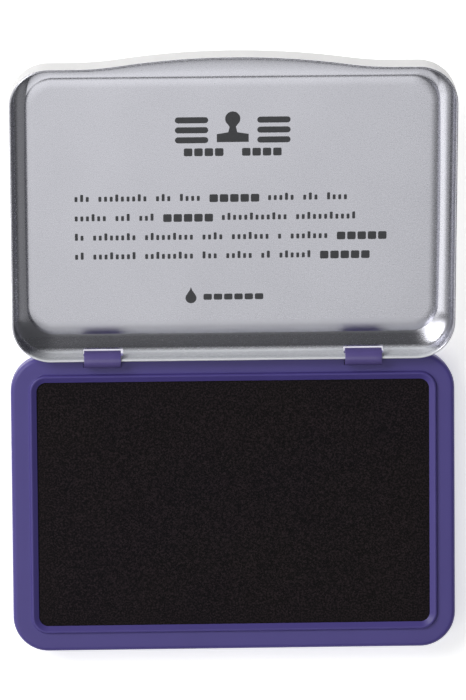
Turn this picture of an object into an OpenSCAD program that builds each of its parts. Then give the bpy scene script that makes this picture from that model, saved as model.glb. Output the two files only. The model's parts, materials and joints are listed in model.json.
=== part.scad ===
// Ink pad in a hinged tin: a cloth-covered felt pad in a sheet-metal base, with a
// tinplate lid that turns on two curled tongues. Millimetres, +Z up, hinge side +Y.
// The origin is the centre of the base's underside. The lid is drawn open, on its stop.

/* [Base] */
// Width of the base, along the hinge
base_w = 121; // [110:0.5:140]
// Depth of the base, front to back
base_d = 81; // [74:0.5:100]
// Height of the flange above the table
base_h = 8; // [8:0.5:12]
// Corner radius of the base
base_r = 9.6; // [8:0.2:12]
// Width of the border from the base's edge to the pad window
border_w = 7; // [6.6:0.1:7.4]
// Height of the raised bead round the window
bead_h = 0.9; // [0.8:0.05:1.2]
// Thickness of all sheet metal
sheet_t = 0.3; // [0.25:0.05:0.35]

/* [Lid] */
// Width of the lid at its rim
lid_w = 120.2; // [118:0.2:120.8]
// Depth of the lid at its rim, without the thumb bulge
lid_d = 82.3; // [81:0.1:84]
// Height of the lid
lid_h = 10.6; // [8.4:0.2:12]
// Corner radius of the lid
lid_r = 10.5; // [9:0.5:12]
// How far the thumb bulge stands out of the front wall
bulge_h = 3.1; // [1.5:0.1:4]
// Depth of the step between the lid's border and its panel
panel_step = 0.6; // [0.3:0.1:1]
// How far the open lid falls short of lying flat, in degrees
lid_tilt = 12.5; // [12.5:0.5:30]

/* [Hinge] */
// Width of each tongue
tongue_w = 10; // [8:0.5:12]
// Distance of each tongue's middle from the middle of the base
tongue_x = 35.45; // [25:0.5:42]
// Side play that the lid has taken up
lid_play = 0.25; // [-0.25:0.05:0.25]

/* [Pad] */
// Thickness of the cloth
cloth_t = 0.35; // [0.25:0.05:0.5]
// Thickness of the backing board
board_t = 2.4; // [2:0.1:2.6]

/* [Hidden] */
$fn = 96;

purple = [0.33, 0.30, 0.50];
tinplate = [0.74, 0.74, 0.77];

// Hinge: the tongue's loop lies on the level of the flange and holds the lid's back rim
loop_outer_r = 2.38;
loop_inner_r = loop_outer_r - sheet_t;
bar_h = 3.8;                             // lid rim below the slot
hinge_y = base_d / 2 - 0.5;
hinge_z = base_h - sheet_t + loop_outer_r;
loop_end_angle = 222;                    // where the loop's free end stops, over the flange
tail_l = 1.5;                            // flat tail welded under the flange
joggle_l = 1;                            // length over which the strap drops under the flange
joggle_z = sheet_t + 0.02;
notch_d = 3;                             // how far the notch for the strap reaches in
notch_play = 0.3;
slot_w = tongue_w + 0.8;
slot_top = bar_h + 4.1;                  // upper end of the slot above the lid's rim

// Base cover: rounded outer edge, flat flange, bead, and a lip turned in at the bottom
edge_r = 1.2;
foot_r = 0.5;
foot_lip_u = 1.65;
bead_fillet_r = 0.25;
bead_r = 0.5;
bead_u = border_w - 1.5;                 // crest of the bead, from the outer edge
bead_end_z = base_h + 0.05;              // top of the sheet at the window's edge
bead_slope_angle = 55;

// Bottom plate
plate_gap = 0.06;
plate_wall_z = 4.2;
plate_corner_r = 0.5;
dish_u = 1.75;                           // where the plate steps down past the foot lip
dish_slope_l = 0.4;
dish_end_u = 2.6;

// Lid section
lid_edge_r = 3.8;                        // its curve ends in a groove round the panel
groove_tilt = 18;                        // slope of the sheet where it meets the groove
hem_t = 0.62;
hem_h = 2.2;
bulge_r = 215;                           // convex middle of the thumb bulge
blend_r = 85;                            // concave ends of the thumb bulge
bulge_angle = acos(1 - bulge_h / (bulge_r + blend_r));
bulge_half_w = (bulge_r + blend_r) * sin(bulge_angle);
groove_side_u = 3.8;                     // border outside the groove, at the sides
groove_back_u = 3.4;                     // at the hinge
groove_front_u = 5.2;                    // and at the thumb bulge
step_l = 2;                              // from the groove to the flat panel
step_r = 8;
corner_steps = 8;                        // flats in each corner of the lid
blend_steps = 4;                         // in each concave end of the bulge
bulge_steps = 7;                         // and in each half of its middle
step_w = lid_w - 2 * groove_side_u;
step_d = lid_d - groove_front_u - groove_back_u;
step_y = (groove_front_u - groove_back_u) / 2;
lid_rim_z = hinge_z - bar_h / 2;
lid_y = hinge_y + sheet_t / 2 - lid_d / 2;

// Pad stack, from the bottom plate up
board_z = sheet_t;
tray_z = board_z + board_t;
tray_margin = 3.5;                       // tray and board inside the base's edge
tray_r = 4;                              // corner radius of tray and board
tray_wall = 0.8;
tray_floor = 0.6;
tray_top = base_h - 1;
pad_play = 0.4;
pad_r = 2.5;                             // corner radius of the cloth
pad_top = base_h - sheet_t + 0.02;
felt_z = tray_z + tray_floor;
felt_split_z = felt_z + 2.1;

// Points of a circular arc round c, from angle a0 to a1
function arc(c, r, a0, a1, n = 6) =
    [for (i = [0:n]) let (a = a0 + (a1 - a0) * i / n) c + r * [cos(a), sin(a)]];

// Rectangle with rounded corners, centred
module rounded_rect(w, d, r) {
    square([w - 2 * r, d], center = true);
    square([w, d - 2 * r], center = true);
    for (x = [-1, 1], y = [-1, 1])
        translate([x * (w / 2 - r), y * (d / 2 - r)]) circle(r);
}

module rounded_slab(w, d, r, z0, z1) {
    translate([0, 0, z0]) linear_extrude(z1 - z0) rounded_rect(w, d, r);
}

// A section is drawn with X inwards from the outline and Y upwards.
// One straight stretch of it, with the outline at X = 0 and running along Y:
module straight_run(length) {
    rotate([90, 0, 0]) linear_extrude(length, center = true) mirror([1, 0]) children();
}

// One outer corner of it, from +X to +Y:
module corner_run(r) {
    rotate_extrude(angle = 90) translate([r, 0]) mirror([1, 0]) children();
}

// The section carried round a rounded rectangle
module swept_frame(w, d, r) {
    for (k = [0:3]) {
        half = k % 2 == 0 ? w / 2 : d / 2;
        run = k % 2 == 0 ? d - 2 * r : w - 2 * r;
        rotate([0, 0, 90 * k]) translate([half, 0, 0]) straight_run(run) children();
        x = (k == 0 || k == 3 ? 1 : -1) * (w / 2 - r);
        y = (k < 2 ? 1 : -1) * (d / 2 - r);
        translate([x, y, 0]) rotate([0, 0, 90 * k]) corner_run(r) children();
    }
}

// ---- Base ----

module base_shell_section() {
    slope_start = [bead_u, base_h + bead_h - bead_r];
    slope_dir = [cos(bead_slope_angle), sin(bead_slope_angle)];
    rise_u = bead_u - bead_r;
    fillet_c = [rise_u - bead_fillet_r, base_h + bead_fillet_r];
    polygon(concat(
        [[foot_lip_u, 0]],
        arc([foot_r, foot_r], foot_r, 270, 180),
        arc([edge_r, base_h - edge_r], edge_r, 180, 90, 8),
        arc(fillet_c, bead_fillet_r, 270, 360, 4),
        arc(slope_start, bead_r, 180, bead_slope_angle, 8),
        [[border_w, bead_end_z]],
        [[border_w, bead_end_z] - sheet_t * slope_dir],
        arc(slope_start, bead_r - sheet_t, bead_slope_angle, 180, 6),
        arc(fillet_c, bead_fillet_r + sheet_t, 360, 270, 5),
        arc([edge_r, base_h - edge_r], edge_r - sheet_t, 90, 180, 8),
        arc([foot_r, foot_r], foot_r - sheet_t, 180, 270),
        [[foot_lip_u, sheet_t]]
    ));
}

module base_shell() {
    color(purple) difference() {
        swept_frame(base_w, base_d, base_r) base_shell_section();
        for (side = [-1, 1])
            translate([side * tongue_x, base_d / 2, base_h])
                cube([tongue_w + notch_play, 2 * notch_d, 2 * (sheet_t + joggle_z + 0.1)],
                    center = true);
    }
}

module bottom_plate_section() {
    u = sheet_t + plate_gap;
    corner = [u + plate_corner_r, sheet_t + plate_corner_r];
    polygon(concat(
        [[u, plate_wall_z]],
        arc(corner, plate_corner_r, 180, 270),
        [[dish_u, sheet_t], [dish_u + dish_slope_l, 0], [dish_end_u, 0], [dish_end_u, sheet_t]],
        [[dish_u + dish_slope_l + 0.1, sheet_t], [dish_u + 0.1, 2 * sheet_t]],
        arc(corner, plate_corner_r - sheet_t, 270, 180),
        [[u + sheet_t, plate_wall_z]]
    ));
}

module bottom_plate() {
    color(tinplate) {
        swept_frame(base_w, base_d, base_r) bottom_plate_section();
        rounded_slab(base_w - 2 * dish_end_u, base_d - 2 * dish_end_u,
            base_r - dish_end_u, 0, sheet_t);
    }
}

// The strap in the plane across the hinge, with the hinge axis at the origin
module tongue_section() {
    difference() {
        circle(loop_outer_r);
        circle(loop_inner_r);
        polygon([
            [0, 0],
            3 * loop_outer_r * [cos(loop_end_angle), sin(loop_end_angle)],
            [-2 * loop_outer_r, -4 * loop_outer_r],
            [0, -4 * loop_outer_r]
        ]);
    }
    low = -loop_outer_r;
    drop_y = -(notch_d - 0.5 - joggle_l);
    polygon([
        [0, low],
        [0, low + sheet_t],
        [drop_y, low + sheet_t],
        [drop_y - joggle_l, low + sheet_t - joggle_z],
        [drop_y - joggle_l - tail_l, low + sheet_t - joggle_z],
        [drop_y - joggle_l - tail_l, low - joggle_z],
        [drop_y - joggle_l, low - joggle_z],
        [drop_y, low]
    ]);
}

module hinge_tongue(side) {
    color(purple)
        translate([side * tongue_x, hinge_y, hinge_z]) rotate([90, 0, 90])
            linear_extrude(tongue_w, center = true) tongue_section();
}

module hinge_tongue_left() {
    hinge_tongue(-1);
}

module hinge_tongue_right() {
    hinge_tongue(1);
}

// ---- Pad ----

module backing_board() {
    color([0.55, 0.42, 0.28])
        rounded_slab(base_w - 2 * tray_margin, base_d - 2 * tray_margin, tray_r,
            board_z, board_z + board_t);
}

module ink_tray() {
    w = base_w - 2 * tray_margin;
    d = base_d - 2 * tray_margin;
    color([0.12, 0.12, 0.14]) difference() {
        rounded_slab(w, d, tray_r, tray_z, tray_top);
        rounded_slab(w - 2 * tray_wall, d - 2 * tray_wall, tray_r - tray_wall,
            tray_z + tray_floor, tray_top + 1);
    }
}

// Everything in the tray stands inside it by the given margin
module pad_layer(margin, z0, z1) {
    inset = tray_margin + tray_wall + pad_play + margin;
    rounded_slab(base_w - 2 * inset, base_d - 2 * inset, pad_r - margin, z0, z1);
}

module felt_lower() {
    color([0.20, 0.18, 0.24]) pad_layer(cloth_t, felt_z, felt_split_z);
}

module felt_upper() {
    color([0.14, 0.12, 0.17]) pad_layer(cloth_t, felt_split_z, pad_top - cloth_t);
}

module ink_cloth() {
    color([0.12, 0.10, 0.13]) difference() {
        pad_layer(0, felt_z, pad_top);
        pad_layer(cloth_t, felt_z - 1, pad_top - cloth_t);
    }
}

// ---- Lid, drawn closed with its rim at Z = 0 and the middle of its rim at the origin ----
// It is one sheet: rings of points lead from the outside of the panel over the rim to the
// inside of the panel, and the two last rings are closed by flat faces.

function direction(angle) = [cos(angle), sin(angle)];

// The corners of a rounded rectangle, counter-clockwise from the front right
function corner_points(w, d, r) = [
    for (k = [-1:2], i = [0:corner_steps])
        let (x = k < 1 ? 1 : -1, y = k == 0 || k == 1 ? 1 : -1)
            [x * (w / 2 - r), y * (d / 2 - r)] + r * direction(90 * (k + i / corner_steps))
];

// The front wall with its thumb bulge, from left to right, moved in by the given inset
function front_points(inset) =
    let (
        front_y = -lid_d / 2,
        blend = [
            for (i = [0:blend_steps - 1])
                (blend_r + inset) * direction(90 - bulge_angle * i / blend_steps)
        ],
        count = len(blend)
    )
    concat(
        [for (p = blend) [p.x - bulge_half_w, p.y + front_y - blend_r]],
        [for (i = [-bulge_steps:bulge_steps])
            [0, front_y - bulge_h + bulge_r]
                + (bulge_r - inset) * direction(bulge_angle * i / bulge_steps - 90)],
        [for (i = [1:count])
            [bulge_half_w - blend[count - i].x, blend[count - i].y + front_y - blend_r]]
    );

function at_height(points, z) = [for (p = points) [p.x, p.y, z]];

// A ring that follows the rim, from an inset and a height
function rim_ring(at) = at_height(
    concat(
        corner_points(lid_w - 2 * at.x, lid_d - 2 * at.x, lid_r - at.x),
        front_points(at.x)
    ), at.y);

// A ring that follows the groove round the panel
function step_ring(inset, z) = at_height(
    [for (p = concat(
        corner_points(step_w - 2 * inset, step_d - 2 * inset, step_r - inset),
        [for (q = front_points(0)) [q.x, inset - step_d / 2]]
    )) p + [0, step_y]], z);

// The rim's section, as insets and heights, from the outside of the top to its inside
function lid_rim_section() =
    let (edge_c = [lid_edge_r, lid_h - lid_edge_r], hem_c = [hem_t / 2, hem_t / 2])
    concat(
        arc(edge_c, lid_edge_r, 90 + groove_tilt, 180),
        arc(hem_c, hem_t / 2, 180, 360),
        [[hem_t, hem_h], [sheet_t, hem_h + 0.2]],
        arc(edge_c, lid_edge_r - sheet_t, 180, 90 + groove_tilt)
    );

module lid_sheet() {
    // from the groove the sheet rounds over to the panel
    slope = [for (t = [0, 0.5, 1]) [t * step_l, panel_step * t * (2 - t)]];
    rings = concat(
        [for (i = [2:-1:0]) step_ring(slope[i].x, lid_h - slope[i].y)],
        [for (at = lid_rim_section()) rim_ring(at)],
        [for (s = slope) step_ring(s.x, lid_h - sheet_t - s.y)]
    );
    count = len(rings[0]);
    last = len(rings) - 1;
    first = 2.5 * corner_steps + 2;      // the flat faces start in the back left corner
    polyhedron(
        [for (ring = rings, p = ring) p],
        concat(
            [[for (i = [count:-1:1]) (first + i) % count]],
            [for (j = [0:last - 1], i = [0:count - 1], half = [0, 1])
                let (a = j * count, b = a + count, next = (i + 1) % count)
                    half == 0 ? [a + i, a + next, b + next] : [a + i, b + next, b + i]],
            [[for (i = [0:count - 1]) last * count + (first + i) % count]]
        )
    );
}

module lid_closed() {
    difference() {
        lid_sheet();
        for (side = [-1, 1])
            translate([side * tongue_x - slot_w / 2, lid_d / 2 - 1.2, bar_h])
                cube([slot_w, 3, slot_top - bar_h]);
    }
}

module lid() {
    color(tinplate)
        translate([lid_play, hinge_y, hinge_z]) rotate([lid_tilt - 180, 0, 0])
            translate([0, lid_y - hinge_y, lid_rim_z - hinge_z]) lid_closed();
}

lid();
base_shell();
bottom_plate();
hinge_tongue_left();
hinge_tongue_right();
ink_cloth();
felt_upper();
felt_lower();
ink_tray();
backing_board();
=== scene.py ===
"""Looks of an ink pad in a hinged tin: bare tinplate lid, purple enamelled base, inked cloth.

Lengths are in millimetres until a mesh is made. +Z up, hinge side +Y, as in the CAD frame.
"""

import json
import math

import bmesh
import bpy
from mathutils import Matrix, Vector, noise


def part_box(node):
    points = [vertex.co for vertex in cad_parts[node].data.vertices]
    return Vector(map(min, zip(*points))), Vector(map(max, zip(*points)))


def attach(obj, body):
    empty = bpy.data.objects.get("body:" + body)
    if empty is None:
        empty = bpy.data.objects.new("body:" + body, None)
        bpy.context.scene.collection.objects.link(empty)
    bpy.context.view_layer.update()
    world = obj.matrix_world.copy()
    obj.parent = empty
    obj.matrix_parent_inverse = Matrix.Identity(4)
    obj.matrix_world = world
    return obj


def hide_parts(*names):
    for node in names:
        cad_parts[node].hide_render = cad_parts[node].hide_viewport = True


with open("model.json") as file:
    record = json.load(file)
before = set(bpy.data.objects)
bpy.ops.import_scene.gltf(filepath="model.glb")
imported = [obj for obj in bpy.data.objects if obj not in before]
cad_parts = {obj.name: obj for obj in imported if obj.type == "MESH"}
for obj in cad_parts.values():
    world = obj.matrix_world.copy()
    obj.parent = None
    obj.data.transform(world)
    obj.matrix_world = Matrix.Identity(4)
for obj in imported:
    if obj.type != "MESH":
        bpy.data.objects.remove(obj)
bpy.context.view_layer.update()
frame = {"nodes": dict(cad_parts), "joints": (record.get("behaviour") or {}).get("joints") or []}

MM = 0.001
SHEET = 0.3  # thickness of all sheet metal


# ---- The frame's sizes ----


def node_box(name):
    low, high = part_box(name)
    return low / MM, high / MM


shell_low, shell_high = node_box("base_shell")
BASE_W = shell_high.x - shell_low.x
BASE_D = shell_high.y - shell_low.y
BEAD_TOP = shell_high.z
BEAD_H = 0.9
BASE_H = BEAD_TOP - BEAD_H
BASE_R = 9.6
BORDER_W = 7.0  # from the base's outside to the edge of the window

hinge = frame["joints"][0]
HINGE = Vector(hinge["pos_m"]) / MM
OPEN_ANGLE = -math.radians(hinge["range_deg"][1])  # from closed to rest
tongue_low, tongue_high = node_box("hinge_tongue_left")
TONGUE_W = tongue_high.x - tongue_low.x
TONGUE_X = -(tongue_low.x + tongue_high.x) / 2
LOOP_R = tongue_high.z - HINGE.z

lid_low, lid_high = node_box("lid")
LID_W = lid_high.x - lid_low.x
LID_PLAY = (lid_low.x + lid_high.x) / 2  # how far the lid sits off the middle
LID_D = 82.3
LID_H = 10.6
LID_R = 10.5
FLANK_TILT = 18  # of the edge, in degrees, where it leaves the groove at the sides
HINGE_FLANK_TILT = 30  # the same along the hinge side
FRONT_TILT = 12  # of the ledge along the front
FRONT_R = 3.8
EDGE_FALL = 3.9  # from the outside of the panel to where the straight wall starts
EDGE_SEGMENTS = 12
HEM_T = 0.62
HEM_H = 2.2
BULGE_H = 3.1
BULGE_R = 215.0
BLEND_R = 85.0
GROOVE_SIDE_U = 3.8  # from the lid's outside to the groove
GROOVE_BACK_U = 4.5
GROOVE_FRONT_U = 4.8
PANEL_STEP = 0.4  # how far the closed lid's panel lies below its highest line
STEP_L = 3.2  # the slope between them
STEP_R = 8.0
PANEL_RINGS = 9
BAR_H = 3.8  # lid rim below the slots
SLOT_W = TONGUE_W + 0.8
SLOT_H = 4.1

cloth_low, cloth_high = node_box("ink_cloth")
CLOTH_T = 0.35


# ---- Mesh helpers ----


def new_piece(name, points, faces, materials, face_material=None, sharp=40):
    """A closed mesh from points in millimetres, smooth but for edges sharper than `sharp`."""
    mesh = bpy.data.meshes.new(name)
    mesh.from_pydata([Vector(p) * MM for p in points], [], faces)
    for m in materials:
        mesh.materials.append(m)
    if face_material:
        mesh.polygons.foreach_set("material_index", face_material)
    bm = bmesh.new()
    bm.from_mesh(mesh)
    bmesh.ops.remove_doubles(bm, verts=bm.verts, dist=1e-7)
    bmesh.ops.recalc_face_normals(bm, faces=bm.faces)
    bm.to_mesh(mesh)
    bm.free()
    finish_mesh(mesh, sharp)
    piece = bpy.data.objects.new(name, mesh)
    bpy.context.scene.collection.objects.link(piece)
    return piece


def finish_mesh(mesh, sharp):
    mesh.polygons.foreach_set("use_smooth", [True] * len(mesh.polygons))
    mesh.set_sharp_from_angle(angle=math.radians(sharp))
    mesh.update()


def apply_modifier(piece, kind, sharp=40, **settings):
    """Applies one modifier to the piece's mesh."""
    modifier = piece.modifiers.new(kind, kind)
    for key, value in settings.items():
        setattr(modifier, key, value)
    bpy.context.view_layer.update()
    evaluated = piece.evaluated_get(bpy.context.evaluated_depsgraph_get())
    mesh = bpy.data.meshes.new_from_object(evaluated)
    piece.modifiers.clear()
    piece.data = mesh
    finish_mesh(mesh, sharp)


def cut_boxes(piece, boxes):
    """Cuts boxes, each (low corner, high corner) in millimetres, out of the piece."""
    points, faces = [], []
    for low, high in boxes:
        n = len(points)
        points += [
            (x, y, z)
            for x in (low[0], high[0])
            for y in (low[1], high[1])
            for z in (low[2], high[2])
        ]
        quads = (0, 1, 3, 2), (4, 6, 7, 5), (0, 4, 5, 1), (2, 3, 7, 6), (0, 2, 6, 4), (1, 5, 7, 3)
        faces += [[n + i for i in quad] for quad in quads]
    materials = list(piece.data.materials)
    cutter = new_piece("cutter", points, faces, materials)
    apply_modifier(
        piece, "BOOLEAN", operation="DIFFERENCE", solver="EXACT", object=cutter,
        material_mode="INDEX",
    )  # fmt: skip
    bpy.data.objects.remove(cutter)


def on_circle(c, r, a):
    return (c[0] + r * math.cos(a), c[1] + r * math.sin(a))


def arc(c, r, a0, a1, n):
    """Points round c, from angle a0 to a1 in degrees."""
    return [on_circle(c, r, math.radians(a0 + (a1 - a0) * i / n)) for i in range(n + 1)]


def between(a, b, n):
    """n points from a to b, without either end."""
    return [
        tuple(p + (q - p) * i / (n + 1) for p, q in zip(a, b, strict=True)) for i in range(1, n + 1)
    ]


def smooth(t):
    t = min(max(t, 0.0), 1.0)
    return t * t * (3 - 2 * t)


def corner_stations(w, d, r, k, n):
    """Points and inward normals of one corner: 0 front right, then counter-clockwise."""
    sx, sy = ((1, -1), (1, 1), (-1, 1), (-1, -1))[k]
    c = (sx * (w / 2 - r), sy * (d / 2 - r))
    angles = [math.radians(90 * k - 90 + 90 * i / n) for i in range(n + 1)]
    return [(on_circle(c, r, a), (-math.cos(a), -math.sin(a))) for a in angles]


def frame_stations(w, d, r, n=18, pitch=3.0):
    """Points and inward normals round a rounded rectangle."""
    corners = [corner_stations(w, d, r, k, n) for k in range(4)]
    out = []
    for k in range(4):
        out += corners[k]
        end, start = corners[k][-1], corners[(k + 1) % 4][0]
        length = math.dist(end[0], start[0])
        out += [(p, end[1]) for p in between(end[0], start[0], max(1, int(length / pitch)))]
    return out


def tube_faces(n_rings, n_stations, closed):
    """Quads between rings of points, ring after ring, as (face, ring number)."""
    faces = []
    for j in range(n_rings if closed else n_rings - 1):
        for i in range(n_stations):
            a, b = j * n_stations, (j + 1) % n_rings * n_stations
            i2 = (i + 1) % n_stations
            faces.append(([a + i, a + i2, b + i2, b + i], j))
    return faces


# ---- Materials ----


class Nodes:
    """A few short calls for building a node material."""

    def __init__(self, name):
        self.material = bpy.data.materials.new(name)
        self.material.use_nodes = True
        self.tree = self.material.node_tree
        self.shader = self.tree.nodes["Principled BSDF"]
        self.place = self.add("ShaderNodeTexCoord").outputs["Object"]

    def add(self, kind, inputs=(), **settings):
        node = self.tree.nodes.new(kind)
        for key, value in settings.items():
            setattr(node, key, value)
        for key, value in dict(inputs).items():
            self.put(node.inputs[key], value)
        return node

    def put(self, socket, value):
        if isinstance(value, bpy.types.NodeSocket):
            self.tree.links.new(value, socket)
        else:
            socket.default_value = value

    def scaled(self, factors):
        """Object coordinates stretched by the factors, per millimetre."""
        mapping = self.add("ShaderNodeMapping", {"Vector": self.place})
        mapping.inputs["Scale"].default_value = [f / MM for f in factors]
        return mapping.outputs["Vector"]

    def noise(self, factors, detail=2.0, roughness=0.5):
        inputs = {"Vector": self.scaled(factors), "Scale": 1.0, "Detail": detail}
        node = self.add("ShaderNodeTexNoise", inputs)
        node.inputs["Roughness"].default_value = roughness
        return node.outputs["Fac"]

    def ramp(self, value, low, high, to_low, to_high):
        inputs = {
            "Value": value, "From Min": low, "From Max": high, "To Min": to_low, "To Max": to_high,
        }  # fmt: skip
        return self.add("ShaderNodeMapRange", inputs).outputs["Result"]

    def math(self, operation, a, b):
        node = self.add("ShaderNodeMath", operation=operation)
        self.put(node.inputs[0], a)
        self.put(node.inputs[1], b)
        return node.outputs[0]

    def mix(self, factor, a, b):
        node = self.add("ShaderNodeMix", data_type="RGBA")
        self.put(node.inputs["Factor"], factor)
        self.put(node.inputs["A"], a)
        self.put(node.inputs["B"], b)
        return node.outputs["Result"]

    def bump(self, height, distance_mm, strength, after=None):
        inputs = {"Height": height, "Distance": distance_mm * MM, "Strength": strength}
        node = self.add("ShaderNodeBump", inputs)
        if after:
            self.put(node.inputs["Normal"], after)
        return node.outputs["Normal"]

    def finish(self, **sockets):
        for key, value in sockets.items():
            self.put(self.shader.inputs[key.replace("_", " ")], value)
        return self.material


def rgb(r, g, b):
    """A display colour from 0 to 255 as linear RGBA."""
    return tuple(
        c / 12.92 if c <= 0.04045 else ((c + 0.055) / 1.055) ** 2.4
        for c in (v / 255 for v in (r, g, b))
    ) + (1.0,)


def tinplate(name, painted_wall_light=False):
    """Bare rolled tinplate. With `painted_wall_light`, the hinge wall of the open lid gets a
    painted reflection: near-white diffuse paint instead of metal, so that it looks lit. Beyond the
    groove the tin is also made a little rougher.
    """
    m = Nodes(name)
    light, dark = rgb(203, 203, 210), rgb(198, 198, 205)
    grain = m.noise((0.8, 4.0, 4.0), 3.0, 0.6)
    mottle = m.noise((0.05, 0.05, 0.05), 3.0)
    speckle = m.noise((1.6, 1.6, 1.6), 2.0, 0.7)
    tone = m.math("ADD", m.math("MULTIPLY", mottle, 0.6), m.math("MULTIPLY", speckle, 0.4))
    colour = m.mix(m.ramp(tone, 0.35, 0.65, 0.0, 1.0), dark, light)
    metallic, roughness = 1.0, m.ramp(grain, 0.3, 0.7, 0.262, 0.28)
    if painted_wall_light:
        y = m.add("ShaderNodeSeparateXYZ", {"Vector": m.place}).outputs["Y"]

        def from_hinge(near, far, to_near, to_far):
            return m.ramp(y, (HINGE.y + near) * MM, (HINGE.y + far) * MM, to_near, to_far)

        # painted reflection: near the hinge the wall turns from metal to near-white paint, standing
        # in for the bright light it catches
        metallic = from_hinge(1.5, 2.6, 0.0, 1.0)
        colour = m.mix(metallic, rgb(249, 251, 255), colour)
        beyond_groove = from_hinge(5.4, 6.0, 0.0, 1.0)
        handled = from_hinge(8.0, 10.0, 0.06, 0.0)
        roughness = m.math("ADD", roughness, m.math("MULTIPLY", beyond_groove, handled))
    return m.finish(
        Base_Color=colour,
        Metallic=metallic,
        Roughness=roughness,
        Normal=m.bump(grain, 0.0002, 0.15, m.bump(speckle, 0.0004, 0.2)),
    )


def enamel(name, colour, worn, roughness, coat):
    """Sprayed and baked paint with a little orange peel."""
    m = Nodes(name)
    peel = m.noise((0.9, 0.9, 0.9), 2.0)
    mottle = m.noise((0.06, 0.06, 0.06), 3.0)
    dust = m.noise((4.0, 4.0, 4.0), 2.0)
    tone = m.math("ADD", m.math("MULTIPLY", mottle, 0.7), m.math("MULTIPLY", dust, 0.3))
    return m.finish(
        Base_Color=m.mix(m.ramp(tone, 0.3, 0.7, 0.0, 1.0), worn, colour),
        Roughness=m.ramp(dust, 0.3, 0.7, roughness - 0.04, roughness + 0.05),
        Coat_Weight=coat,
        Coat_Roughness=0.25,
        Normal=m.bump(peel, 0.006, 0.6),
    )


def inked_cloth(name):
    m = Nodes(name)
    pitch = 0.26  # from thread to thread
    waves = []
    for axis in ("X", "Y"):
        inputs = {"Vector": m.scaled((1, 1, 1)), "Scale": math.pi / (10 * pitch)}
        wave = m.add("ShaderNodeTexWave", inputs, wave_type="BANDS", bands_direction=axis)
        wave.inputs["Distortion"].default_value = 0.6
        wave.inputs["Detail"].default_value = 1.0
        waves.append(wave.outputs["Fac"])
    weave = m.math("MAXIMUM", waves[0], waves[1])
    fuzz = m.noise((2.2, 2.2, 2.2), 3.0, 0.7)
    stain = m.noise((0.035, 0.035, 0.035), 4.0, 0.6)
    lit = m.mix(m.ramp(fuzz, 0.44, 0.66, 0.0, 1.0), rgb(0, 0, 0), rgb(68, 56, 60))
    tint = m.mix(m.ramp(stain, 0.35, 0.65, 0.0, 1.0), rgb(9, 5, 14), rgb(14, 10, 11))
    height = m.math("ADD", m.math("MULTIPLY", weave, 0.4), m.math("MULTIPLY", fuzz, 0.8))
    return m.finish(
        Base_Color=m.mix(0.5, lit, tint),
        Roughness=m.ramp(fuzz, 0.3, 0.7, 0.75, 0.95),
        Specular_IOR_Level=0.2,
        Sheen_Weight=0.04,
        Sheen_Roughness=0.5,
        Normal=m.bump(height, 0.06, 0.8),
    )


def felt(name):
    m = Nodes(name)
    fibres = m.noise((1.2, 1.2, 4.0), 5.0, 0.7)
    return m.finish(
        Base_Color=m.mix(m.ramp(fibres, 0.35, 0.65, 0.0, 1.0), rgb(26, 20, 32), rgb(58, 50, 66)),
        Roughness=0.95,
        Sheen_Weight=0.2,
        Normal=m.bump(fibres, 0.15, 0.8),
    )


def plain_grained(name, dark, light, factors, roughness, height):
    m = Nodes(name)
    grain = m.noise(factors, 4.0, 0.6)
    return m.finish(
        Base_Color=m.mix(m.ramp(grain, 0.35, 0.65, 0.0, 1.0), dark, light),
        Roughness=m.ramp(grain, 0.3, 0.7, roughness - 0.08, roughness + 0.08),
        Normal=m.bump(grain, height, 0.7),
    )


TIN = tinplate("tinplate")
LID_TIN = tinplate("lid_tinplate", painted_wall_light=True)
WHITE = enamel("white_coating", rgb(226, 225, 224), rgb(221, 220, 220), 0.38, 0.2)
PURPLE = enamel("purple_enamel", rgb(84, 73, 150), rgb(80, 69, 143), 0.45, 0.05)
# a lighter copy of the purple enamel for the tongues: painted highlight for the gloss their curled
# tops catch from above
TONGUE_LIT_ENAMEL = enamel("tongue_enamel_lit", rgb(104, 92, 158), rgb(98, 86, 150), 0.36, 0.3)
PRINT = plain_grained(
    "print_ink", rgb(62, 63, 66), rgb(76, 77, 80), (3.0, 3.0, 3.0), 0.55, 0.004
)
CLOTH = inked_cloth("inked_cloth")
FELT = felt("inked_felt")
TRAY = plain_grained("tray_plastic", rgb(32, 32, 36), rgb(42, 42, 46), (2.0, 2.0, 2.0), 0.5, 0.01)
BOARD = plain_grained(
    "fibreboard", rgb(120, 92, 60), rgb(160, 128, 90), (0.8, 1.6, 4.0), 0.85, 0.03
)


# ---- Base cover: wall, flange and bead, with a notch for each tongue ----


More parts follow.
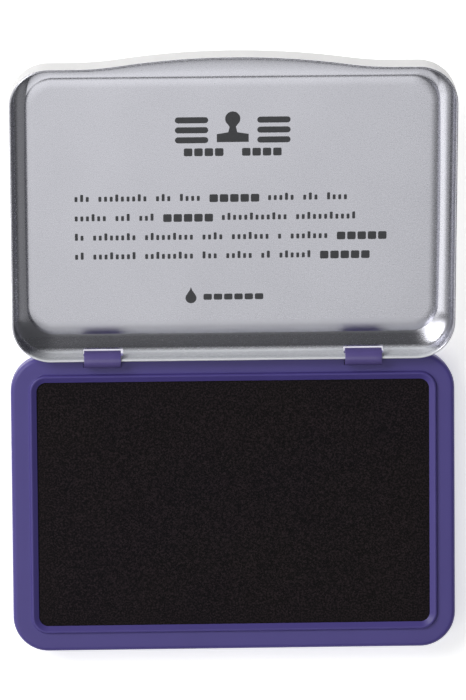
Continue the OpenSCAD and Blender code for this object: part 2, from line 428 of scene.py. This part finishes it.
def base_section():
    """The sheet's section as (u, z), u from the base's outside: out and back again."""
    edge_r, foot_r, foot_lip = 1.2, 0.5, 1.65
    bead_r, fillet_r, slope = 0.5, 0.25, 55
    end_z = BASE_H + 0.05
    bead_c = (BORDER_W - 1.5, BEAD_TOP - bead_r)
    fillet_c = (bead_c[0] - bead_r - fillet_r, BASE_H + fillet_r)
    slope_dir = (math.cos(math.radians(slope)), math.sin(math.radians(slope)))
    lip = (BORDER_W - SHEET * slope_dir[0], end_z - SHEET * slope_dir[1])
    wall_top = (edge_r, BASE_H - edge_r)
    bead_start = (bead_c[0] + bead_r * slope_dir[0], bead_c[1] + bead_r * slope_dir[1])
    under = arc(bead_c, bead_r - SHEET, slope, 180, 8)
    flange = (edge_r, BASE_H), (fillet_c[0], BASE_H)
    below = (fillet_c[0], BASE_H - SHEET), (edge_r, BASE_H - SHEET)
    return (
        [(foot_lip, 0.0), *between((foot_lip, 0), (foot_r, 0), 1)]
        + arc((foot_r, foot_r), foot_r, 270, 180, 6)
        + between((0.0, foot_r), (0.0, wall_top[1]), 4)
        + arc(wall_top, edge_r, 180, 90, 10)
        + between(*flange, 4)
        + arc(fillet_c, fillet_r, 270, 360, 6)
        + arc(bead_c, bead_r, 180, slope, 14)
        + between(bead_start, (BORDER_W, end_z), 2)
        + [(BORDER_W, end_z), (BORDER_W - 0.02, end_z - 0.1), lip]
        + under
        + arc(fillet_c, fillet_r + SHEET, 360, 270, 6)
        + between(*below, 4)
        + arc(wall_top, edge_r - SHEET, 90, 180, 8)
        + arc((foot_r, foot_r), foot_r - SHEET, 180, 270, 4)
        + [(foot_lip, SHEET)]
    )


def base_cover():
    stations, section = frame_stations(BASE_W, BASE_D, BASE_R), base_section()
    points = [(p[0] + u * n[0], p[1] + u * n[1], z) for u, z in section for p, n in stations]
    faces = [f for f, _ in tube_faces(len(section), len(stations), True)]
    piece = new_piece("base_cover", points, faces, [PURPLE])
    notch_w, notch_l, notch_h = TONGUE_W + 0.3, 3, 0.72
    back = BASE_D / 2
    boxes = [
        (
            (s * TONGUE_X - notch_w / 2, back - notch_l, BASE_H - notch_h),
            (s * TONGUE_X + notch_w / 2, back + 1, BASE_H + 1),
        )
        for s in (-1, 1)
    ]
    cut_boxes(piece, boxes)
    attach(piece, "base")
    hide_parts("base_shell")


# ---- Tongues: a strap that leaves the base and curls forward over the lid's rim ----


def tongue(side, name, node):
    """The strap's section runs across the hinge. Y and Z are from the hinge axis."""
    tail_z = -LOOP_R - SHEET - 0.02  # under the flange, with 0.02 between them
    outer = [(-4.0, tail_z), (-2.5, tail_z), (-1.5, -LOOP_R), (-0.7, -LOOP_R)]
    inner = [(y, z + SHEET) for y, z in outer]
    loop = -90, 222, 44  # from angle, to angle, segments
    outer += arc((0, 0), LOOP_R, *loop)
    inner += arc((0, 0), LOOP_R - SHEET, *loop)
    section = outer + inner[::-1]
    count, half = len(outer), TONGUE_W / 2
    across = [-half, -half / 2, 0, half / 2, half]
    points = [
        (side * TONGUE_X + x, HINGE.y + y, HINGE.z + z) for x in across for y, z in section
    ]
    faces = [f for f, _ in tube_faces(len(across), len(section), False)]
    for base in (0, (len(across) - 1) * len(section)):
        for i in range(count - 1):
            quad = [i, i + 1, len(section) - 2 - i, len(section) - 1 - i]
            faces.append([base + k for k in quad])
    piece = new_piece(name, points, faces, [TONGUE_LIT_ENAMEL])
    apply_modifier(
        piece, "BEVEL", sharp=60, width=0.11 * MM, segments=4, limit_method="ANGLE",
        angle_limit=math.radians(60), harden_normals=False,
    )  # fmt: skip
    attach(piece, "base")
    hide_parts(node)


# ---- Lid: one deep-drawn sheet, drawn closed and then turned open ----


def front_stations():
    """The front wall with its thumb bulge, from left to right."""
    angle = math.acos(1 - BULGE_H / (BULGE_R + BLEND_R))
    half = (BULGE_R + BLEND_R) * math.sin(angle)
    blend_c, bulge_c = (-half, -LID_D / 2 - BLEND_R), (0, -LID_D / 2 - BULGE_H + BULGE_R)
    blend_angles = [math.pi / 2 - angle * i / 8 for i in range(8)]
    bulge_angles = [-math.pi / 2 + angle * i / 12 for i in range(-12, 13)]
    left = [(on_circle(blend_c, BLEND_R, a), (math.cos(a), math.sin(a))) for a in blend_angles]
    middle = [(on_circle(bulge_c, BULGE_R, a), (-math.cos(a), -math.sin(a))) for a in bulge_angles]
    right = [((-p[0], p[1]), (-n[0], n[1])) for p, n in reversed(left)]
    return left + middle + right


def lid_stations():
    """Rim point, its inward normal, step point and its inward normal, round the lid."""
    step_w, step_d = LID_W - 2 * GROOVE_SIDE_U, LID_D - GROOVE_FRONT_U - GROOVE_BACK_U
    step_y = (GROOVE_FRONT_U - GROOVE_BACK_U) / 2
    out = []

    def corner(k, n):
        rim = corner_stations(LID_W, LID_D, LID_R, k, n)
        step = corner_stations(step_w, step_d, STEP_R, k, n)
        return [(*a, (q[0], q[1] + step_y), m) for a, (q, m) in zip(rim, step, strict=True)]

    for k in range(4):
        out += corner(k, 16)
        if k < 3:
            end, start = out[-1], corner(k + 1, 1)[0]
            pitch = 1.6 if k == 1 else 4  # closer along the hinge wall, for its dents
            n = int(math.dist(end[0], start[0]) / pitch)
            rims, steps = between(end[0], start[0], n), between(end[2], start[2], n)
            out += [(p, end[1], q, end[3]) for p, q in zip(rims, steps, strict=True)]
    front = [(p, n, (p[0], step_y - step_d / 2), (0.0, 1.0)) for p, n in front_stations()]
    return out + front


def panel_wave(x, y):
    """The panel isn't quite flat. x and y are in the closed lid."""
    height, fade = 0.10, 12
    wave = noise.noise(Vector((x / 38 + 3.1, y / 30 + 1.7, 0.4)))
    edge = smooth((LID_W / 2 - 7 - abs(x)) / fade) * smooth((LID_D / 2 - 8 - abs(y)) / fade)
    return height * wave * edge


def wall_dent(x, y, z):
    """How far the back wall is pushed in beside the slots."""
    if y < LID_D / 2 - 4:
        return 0.0
    depth, spread = 0.35, 11
    near = math.exp(-(((abs(x) - TONGUE_X) / spread) ** 2))
    height = (z - HEM_H) / (LID_H - HEM_H)
    return depth * near * math.sin(math.pi * min(max(height, 0), 1))


def edge_point(t, inset, groove_u, tilt, front):
    """The lid's long edge as (u, z), from the groove at t = 0 to the wall at t = 1.

    It leaves the groove, groove_u from the wall, at the tilt in degrees. Along the front wall,
    where front = 1, there is a ledge between the groove and a round edge instead.
    """
    start = Vector((0.0, LID_H - EDGE_FALL))
    middle = Vector((0.0, LID_H - groove_u * math.tan(math.radians(tilt))))
    end = Vector((groove_u, LID_H))
    k = 1 - t
    along = ((middle - start) * (1 - k) + (end - middle) * k).normalized()
    curve = start * (1 - k) ** 2 + middle * 2 * k * (1 - k) + end * k**2
    curve += Vector((along.y, -along.x)) * inset
    angle, r = math.radians(180 - (90 - FRONT_TILT) * k), FRONT_R - inset
    u, z = FRONT_R + r * math.cos(angle), LID_H - FRONT_R + r * math.sin(angle)
    return curve.x + (u - curve.x) * front, curve.y + (z - curve.y) * front


def lid_rings():
    """Rings from the outside of the panel, over the rim, to the inside of the panel."""
    edge_z, hem_c = LID_H - EDGE_FALL, (HEM_T / 2, HEM_T / 2)
    lip_l, lip_h = 0.7, 0.22  # the groove's own flank, steeper than the rest of the step
    slope = [(0.0, 0.0), (lip_l / 2, lip_h / 2)]
    slope += [
        (lip_l + (STEP_L - lip_l) * t, lip_h + (PANEL_STEP - lip_h) * t * (2 - t))
        for t in (i / 7 for i in range(8))
    ]
    outside = [("panel", i / PANEL_RINGS, LID_H - PANEL_STEP) for i in range(PANEL_RINGS, 0, -1)]
    outside += [("step", u, LID_H - h) for u, h in reversed(slope)]
    edge = [i / EDGE_SEGMENTS for i in range(EDGE_SEGMENTS + 1)]
    rim = (
        between((0, edge_z), (0, HEM_T / 2), 5)
        + arc(hem_c, HEM_T / 2, 180, 360, 10)
        + between((HEM_T, HEM_T / 2), (HEM_T, HEM_H), 2)
        + [(HEM_T, HEM_H), (HEM_T - 0.05, HEM_H + 0.06), (SHEET, HEM_H + 0.2)]
        + between((SHEET, HEM_H + 0.2), (SHEET, edge_z), 4)
    )
    rim = (
        [("edge", t, 0.0) for t in edge]
        + [("rim", u, z) for u, z in rim]
        + [("edge", t, SHEET) for t in reversed(edge)]
    )
    inside = [("step", u, LID_H - SHEET - h) for u, h in slope]
    inside += [
        ("panel", i / PANEL_RINGS, LID_H - SHEET - PANEL_STEP) for i in range(1, PANEL_RINGS + 1)
    ]
    return outside, rim, inside


def lid_point(station, ring):
    """A point of the closed lid. A panel ring closes in on the middle as its u goes to 1."""
    kind, u, z = ring
    p, n, q, m = station
    if kind == "edge":
        tilt = FLANK_TILT + (HINGE_FLANK_TILT - FLANK_TILT) * smooth(-n[1])
        u, z = edge_point(u, z, math.dist(p, q), tilt, smooth(n[1]))
    if kind in ("edge", "rim"):
        x, y = p[0] + u * n[0], p[1] + u * n[1]
        y -= wall_dent(x, y, z) * max(-n[1], 0)
        return (x, y, z)
    if kind == "step":
        return (q[0] + u * m[0], q[1] + u * m[1], z)
    x, y = q[0] + STEP_L * m[0], q[1] + STEP_L * m[1]
    x, y = x * (1 - u * 0.97), y * (1 - u * 0.96)
    return (x, y, z + panel_wave(x, y))


def open_lid(piece):
    """Turns a piece of the closed lid to where the lid lies at rest."""
    rim_z = HINGE.z - BAR_H / 2
    shift = Vector((LID_PLAY, HINGE.y + SHEET / 2 - LID_D / 2, rim_z)) * MM
    pivot = Vector((0, HINGE.y, HINGE.z)) * MM
    turn = (
        Matrix.Translation(pivot) @ Matrix.Rotation(OPEN_ANGLE, 4, "X") @ Matrix.Translation(-pivot)
    )
    piece.data.transform(turn @ Matrix.Translation(shift))


def lid_shell():
    stations = lid_stations()
    outside, rim, inside = lid_rings()
    rings = outside + rim + inside
    points = [lid_point(s, ring) for ring in rings for s in stations]
    coated_rings = len(outside) + EDGE_SEGMENTS + 6  # the coating ends where the rim turns in
    quads = tube_faces(len(rings), len(stations), False)
    faces = [f for f, _ in quads]
    material = [1 if j < coated_rings else 0 for _, j in quads]
    last = (len(rings) - 1) * len(stations)
    faces += [list(range(len(stations)))[::-1], [last + i for i in range(len(stations))]]
    material += [1, 0]
    piece = new_piece("lid_shell", points, faces, [LID_TIN, WHITE], material)
    back, slot_deep = LID_D / 2, 1.4
    boxes = [
        (
            (s * TONGUE_X - SLOT_W / 2, back - slot_deep, BAR_H),
            (s * TONGUE_X + SLOT_W / 2, back + 1, BAR_H + SLOT_H),
        )
        for s in (-1, 1)
    ]
    cut_boxes(piece, boxes)
    open_lid(piece)
    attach(piece, "lid")
    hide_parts("lid")


# ---- Print inside the lid: a rubber stamp, rows of blocks and an ink drop, no lettering ----


def moved(outline, x, y):
    return [(x + px, y + py) for px, py in outline]


def bar(w, h, r=None, n=4):
    """A bar with rounded corners or, with no r, rounded ends, from its left end's middle."""
    r = min(h / 2, w / 2) if r is None else r
    left, right, low, high = r, w - r, -h / 2 + r, h / 2 - r
    out = []
    for c, a in ((right, low), -90), ((right, high), 0), ((left, high), 90), ((left, low), 180):
        out += arc(c, r, a, a + 90, n)
    return out


def drop(r):
    """An ink drop with its point up, centred on its round part."""
    neck, neck_y, tip_y = 0.25 * r, 1.45 * r, 2.1 * r
    return [*arc((0, 0), r, 150 - 360, 30, 20), (neck, neck_y), (0, tip_y), (-neck, neck_y)]


def stamp(s):
    """A rubber stamp seen from the side, s high, from the middle of its foot."""
    return [
        (-0.5 * s, 0), (0.5 * s, 0), (0.5 * s, 0.26 * s), (0.14 * s, 0.32 * s), (0.1 * s, 0.5 * s),
        *arc((0, 0.76 * s), 0.24 * s, -50, 230, 14), (-0.1 * s, 0.5 * s), (-0.14 * s, 0.32 * s),
        (-0.5 * s, 0.26 * s),
    ]  # fmt: skip


def small_blocks(count, x, y, row):
    """Small upright blocks in place of a word of small print. Some are taller, as in any text."""
    wide, pitch, height, tall = 0.8, 1.52, 1.4, 2.0
    blocks = []
    for i in range(count):
        h = tall if (5 * i + 3 * row + count) % 4 == 0 else height
        blocks.append(moved(bar(wide, h, 0.25 * wide, 2), x + pitch * i, y + (h - height) / 2))
    return blocks, x + pitch * count


def large_blocks(count, x, y, high=2.2):
    """Equal blocks, as a plain ornament."""
    wide, pitch = 2.3, 2.8
    blocks = [moved(bar(wide, high, 0.4), x + pitch * i, y) for i in range(count)]
    return blocks, x + pitch * count


def lid_print():
    """Print coordinates: X to the right and Y away from the hinge, from the panel's middle."""
    shapes = [moved(stamp(8.6), 0, 17.8)]
    bar_w, bar_h = 9.0, 1.7
    for left in (-6.6 - bar_w, 6.6):
        for y in (24.0, 21.2, 18.4):
            shapes.append(moved(bar(bar_w, bar_h), left, y))
    for x in (-13.2, 2.5):
        shapes += large_blocks(4, x, 15.0)[0]
    # how many small blocks there are in each group. B is a group of large ones
    rows = (
        (2.0, "3 9 3 4 B 5 3 4"),
        (-3.5, "6 3 3 B 12 11"),
        (-9.0, "2 8 9 4 7 1 7 B"),
        (-14.4, "2 8 9 3 5 2 6 B"),
    )
    row_start, group_gap = -42.8, 1.9
    for row, (y, groups) in enumerate(rows):
        x = row_start
        for group in groups.split():
            if group == "B":
                blocks, x = large_blocks(5, x, y)
            else:
                blocks, x = small_blocks(int(group), x, y, row)
            shapes += blocks
            x += group_gap
    shapes.append(moved(drop(1.5), -11.4, -26.4))
    shapes += large_blocks(6, -8.0, -26.1, 1.7)[0]
    points, faces = [], []
    surface, half_t = LID_H - SHEET - PANEL_STEP, 0.03
    for shape in shapes:
        base, n = len(points), len(shape)
        for depth in (half_t, -half_t):
            for x, y in shape:
                # the closed lid's inside faces down, and the print's Y runs to its front
                points.append((x, -y, surface + panel_wave(x, -y) + depth))
        faces += [[base + i for i in range(n)], [base + n + i for i in range(n)][::-1]]
        for i in range(n):
            j = (i + 1) % n
            faces.append([base + i, base + j, base + n + j, base + n + i])
    piece = new_piece("lid_print", points, faces, [PRINT])
    open_lid(piece)
    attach(piece, "lid")


# ---- Pad: cloth stretched over two felts ----


def slab_rings(low, high, r, round_r, crown=0.0):
    """Rings of a soft slab: bottom, rounded sides, and a top that is crowned."""
    inner, fade = 10, 14
    w, d = high.x - low.x, high.y - low.y
    stations = frame_stations(w, d, r, 16, 2.5)
    section = [(0.0, low.z), *between((0.0, low.z), (0.0, high.z - round_r), 3)]
    section += arc((round_r, high.z - round_r), round_r, 180, 90, 6)
    rings = [[(p[0] + u * m[0], p[1] + u * m[1], z) for p, m in stations] for u, z in section]
    top = rings[-1]
    for i in range(1, inner + 1):
        t = i / inner
        ring = []
        for x, y, z in top:
            px, py = x * (1 - 0.96 * t), y * (1 - 0.94 * t)
            away = smooth(min((w / 2 - abs(px)) / fade, (d / 2 - abs(py)) / fade))
            wave = noise.noise(Vector((px / 9, py / 9, 2.0)))
            ring.append((px, py, z + crown * away + 0.02 * wave * away))
        rings.append(ring)
    return rings


def cloth_cover():
    """The cloth: wrapped over the felts' top and down their sides, to its raw edge."""
    t, r, crown = CLOTH_T, 2.5, 0.22
    low = Vector((cloth_low.x + t, cloth_low.y + t, cloth_low.z))
    high = Vector((cloth_high.x - t, cloth_high.y - t, cloth_high.z - t))
    outer = slab_rings(cloth_low, cloth_high, r, 0.5, crown)
    inner = slab_rings(low, high, r - t, 0.3, crown)
    n = len(outer[0])  # both have as many stations and rings
    points = [p for ring in outer + inner for p in ring]
    start = len(outer) * n
    last = start - n
    skin = [f for f, _ in tube_faces(len(outer), n, False)] + [[last + i for i in range(n)]]
    faces = skin + [[start + k for k in f] for f in skin]
    faces += [[i, (i + 1) % n, start + (i + 1) % n, start + i] for i in range(n)]
    piece = new_piece("pad_cloth", points, faces, [CLOTH], sharp=60)
    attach(piece, "base")
    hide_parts("ink_cloth")


def felt_layer(name, node):
    low, high = node_box(node)
    rings = slab_rings(low, high, 2.1, 0.25)
    count = len(rings[0])
    points = [p for ring in rings for p in ring]
    faces = [f for f, _ in tube_faces(len(rings), count, False)]
    faces += [list(range(count)), [(len(rings) - 1) * count + i for i in range(count)]]
    piece = new_piece(name, points, faces, [FELT], sharp=60)
    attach(piece, "base")
    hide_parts(node)


base_cover()
tongue(-1, "tongue_left", "hinge_tongue_left")
tongue(1, "tongue_right", "hinge_tongue_right")
lid_shell()
lid_print()
felt_layer("felt_layer_lower", "felt_lower")
felt_layer("felt_layer_upper", "felt_upper")
cloth_cover()
for node_name, finish in (
    ("bottom_plate", TIN),
    ("ink_tray", TRAY),
    ("backing_board", BOARD),
):
    node = frame["nodes"][node_name]
    node.data.materials.clear()
    node.data.materials.append(finish)


# ---- Floor, light and camera ----


def floor():
    """A plain white floor that glows a little, like a light table."""
    m = Nodes("floor")
    grain = m.noise((0.02, 0.02, 0.02), 2.0)
    m.finish(
        Base_Color=m.mix(m.ramp(grain, 0.3, 0.7, 0.0, 1.0), rgb(250, 250, 250), rgb(253, 253, 253)),
        Roughness=0.9,
        Emission_Color=(1.0, 1.0, 1.0, 1.0),
        Emission_Strength=0.55,
    )
    mesh = bpy.data.meshes.new("floor")
    half = 4.0
    corners = [(x * half, y * half, 0) for x, y in ((-1, -1), (1, -1), (1, 1), (-1, 1))]
    mesh.from_pydata(corners, [], [(0, 1, 2, 3)])
    mesh.materials.append(m.material)
    piece = bpy.data.objects.new("floor", mesh)
    bpy.context.scene.collection.objects.link(piece)


def softbox(name, place, size, power, aim=(0.0, 0.04, 0.0)):
    """An area light. Place, size and aim are in metres, and power in watts."""
    light = bpy.data.lights.new(name, "AREA")
    light.shape = "RECTANGLE"
    light.size, light.size_y = size
    light.energy = power
    lamp = bpy.data.objects.new(name, light)
    lamp.location = place
    lamp.rotation_euler = (Vector(aim) - Vector(place)).to_track_quat("-Z", "Y").to_euler()
    bpy.context.scene.collection.objects.link(lamp)


def studio():
    world = bpy.data.worlds.new("studio")
    world.use_nodes = True
    background = world.node_tree.nodes["Background"]
    background.inputs["Color"].default_value = (0.95, 0.97, 1.0, 1)
    background.inputs["Strength"].default_value = 0.08
    bpy.context.scene.world = world
    softbox("overhead_front", (-0.95, -0.85, 1.5), (2.7, 0.7), 5.5, (-0.95, -0.85, 0.0))
    softbox("overhead_back", (-0.4, -0.2, 1.5), (1.4, 0.6), 3.4, (-0.4, -0.2, 0.0))
    softbox("left_high", (-1.4, -1.0, 1.45), (0.5, 0.8), 1.5)
    softbox("left_front", (-1.8, -0.8, 0.8), (0.9, 0.9), 1.0)
    softbox("key", (-1.1, 0.75, 1.15), (0.9, 0.9), 16.0)
    softbox("left_fill", (-1.5, 0.1, 0.35), (0.5, 1.2), 0.25)
    softbox("right_fill", (1.3, -0.6, 1.0), (0.9, 0.9), 0.6)
    softbox("back_low", (0.0, 1.5, 0.15), (1.8, 0.28), 3.0, (0.0, 0.1, 0.05))
    bpy.context.scene.view_settings.view_transform = "Standard"


def camera():
    """Nearly overhead, from far off, leaning to the hinge side and a little to the left."""
    data = bpy.data.cameras.new("camera")
    data.lens = 269.2
    data.sensor_width = 36
    data.clip_start, data.clip_end = 0.05, 20
    lean, aside, roll = map(math.radians, (6.525, 1.838, 0.449))
    distance = 1.4244
    target = Vector((0.0001, 0.0419, 0.008))
    back = Vector((-math.sin(aside), math.sin(lean) * math.cos(aside), 0))
    back.z = math.cos(lean) * math.cos(aside)
    right = Vector((0, 1, 0)).cross(back).normalized()
    axes = Matrix((right, back.cross(right), back)).transposed()
    eye = bpy.data.objects.new("camera", data)
    eye.location = target + distance * back
    eye.rotation_euler = (axes @ Matrix.Rotation(-roll, 3, "Z")).to_euler()
    bpy.context.scene.collection.objects.link(eye)
    bpy.context.scene.camera = eye


floor()
studio()
camera()
